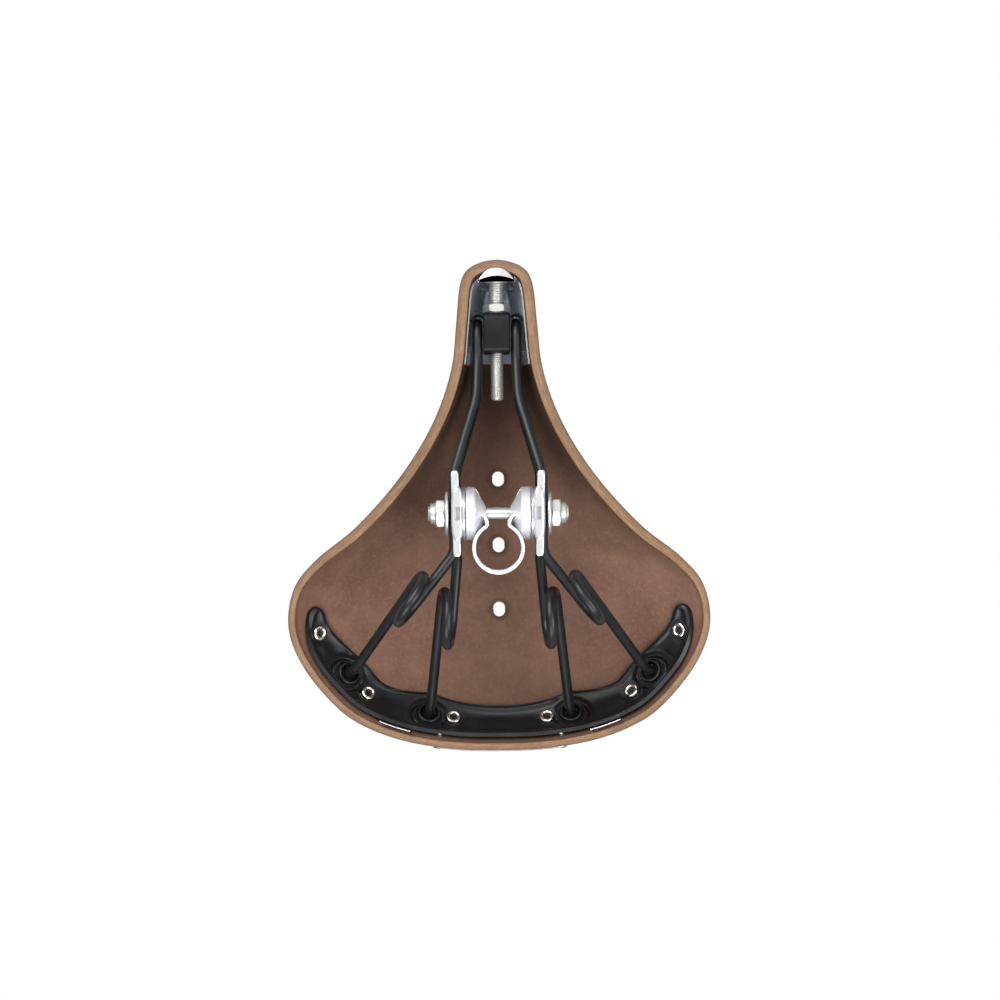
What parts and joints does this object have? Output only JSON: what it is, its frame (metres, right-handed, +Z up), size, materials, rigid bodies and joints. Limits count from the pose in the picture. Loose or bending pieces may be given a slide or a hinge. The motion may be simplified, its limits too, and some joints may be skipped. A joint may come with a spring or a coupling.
{
  "type": "bicycle saddle",
  "caption": "Leather bicycle saddle on black looped spring wires, with nose tension screw, riveted cantle plate and a serrated clip for a round seat post.",
  "frame": {"origin": "centre of the seat-post bore in the clip, halfway up its band", "axes": "+Z up in use, along the post; +Y to the rear; +X to the rider's left, along the clamp bolt"},
  "size_m": [0.21, 0.2435, 0.0968],
  "materials": {
    "leather": "waxed antique brown outside, natural flesh side inside, tan cut edge",
    "black_paint": "gloss black enamel",
    "chrome": "bright chrome",
    "nickel": "nickel-plated, slightly warm",
    "zinc": "bright zinc"
  },
  "bodies": {
    "clip": {"post_clip": "chrome"},
    "clamp": {"inner_shoe_left": "chrome", "inner_shoe_right": "chrome", "outer_cheek_left": "chrome", "outer_cheek_right": "chrome", "clamp_bolt": "zinc"},
    "nut_left": {"clamp_nut_left": "zinc"},
    "nut_right": {"clamp_nut_right": "zinc"},
    "frame": {"frame_wire_left": "black_paint", "frame_wire_right": "black_paint"},
    "seat": {"leather_top": "leather", "cantle_plate": "black_paint", "spring_socket_outer_left": "black_paint", "spring_socket_outer_right": "black_paint", "spring_socket_inner_left": "black_paint", "spring_socket_inner_right": "black_paint", "rear_rivets": "nickel", "rear_badge": "nickel", "badge_rivets": "nickel", "bag_loop_left": "chrome", "bag_loop_right": "chrome", "nose_anchor": "black_paint"},
    "nose": {"nosepiece": "chrome", "nose_rivets": "nickel", "tension_pin": "zinc", "pin_washer": "zinc"},
    "tension_nut": {"tension_nut": "zinc"}
  },
  "joints": [
    {"name": "clip_tilt", "type": "hinge", "parent": "clip", "child": "clamp", "pos_m": [0, -0.0168, 0], "axis": [1, 0, 0], "range_deg": [-20, 20]},
    {"name": "fore_aft", "type": "slide", "parent": "clamp", "child": "frame", "axis": [0, 1, 0], "range_m": [-0.003, 0.003]},
    {"name": "seat_flex", "type": "hinge", "parent": "frame", "child": "seat", "pos_m": [0, -0.1034, 0.018], "axis": [-1, 0, 0], "range_deg": [0, 3], "stiffness_Nm_per_rad": 1500, "deforming": ["frame_wire_left", "frame_wire_right"]},
    {"name": "tension_travel", "type": "slide", "parent": "seat", "child": "nose", "axis": [0, -1, 0], "range_m": [0, 0.004], "deforming": ["leather_top"]},
    {"name": "tension_nut_spin", "type": "hinge", "parent": "seat", "child": "tension_nut", "pos_m": [0, -0.1176, 0.018], "axis": [0, 1, 0], "range_deg": [0, 1440]},
    {"name": "clamp_nut_left_spin", "type": "hinge", "parent": "clamp", "child": "nut_left", "pos_m": [0.0285, -0.0168, 0], "axis": [1, 0, 0], "continuous": true},
    {"name": "clamp_nut_right_spin", "type": "hinge", "parent": "clamp", "child": "nut_right", "pos_m": [-0.0285, -0.0168, 0], "axis": [-1, 0, 0], "continuous": true}
  ],
  "couplings": [
    {"joint": "tension_nut_spin", "follows": "tension_travel", "rad_per_m": 6283.2}
  ]
}
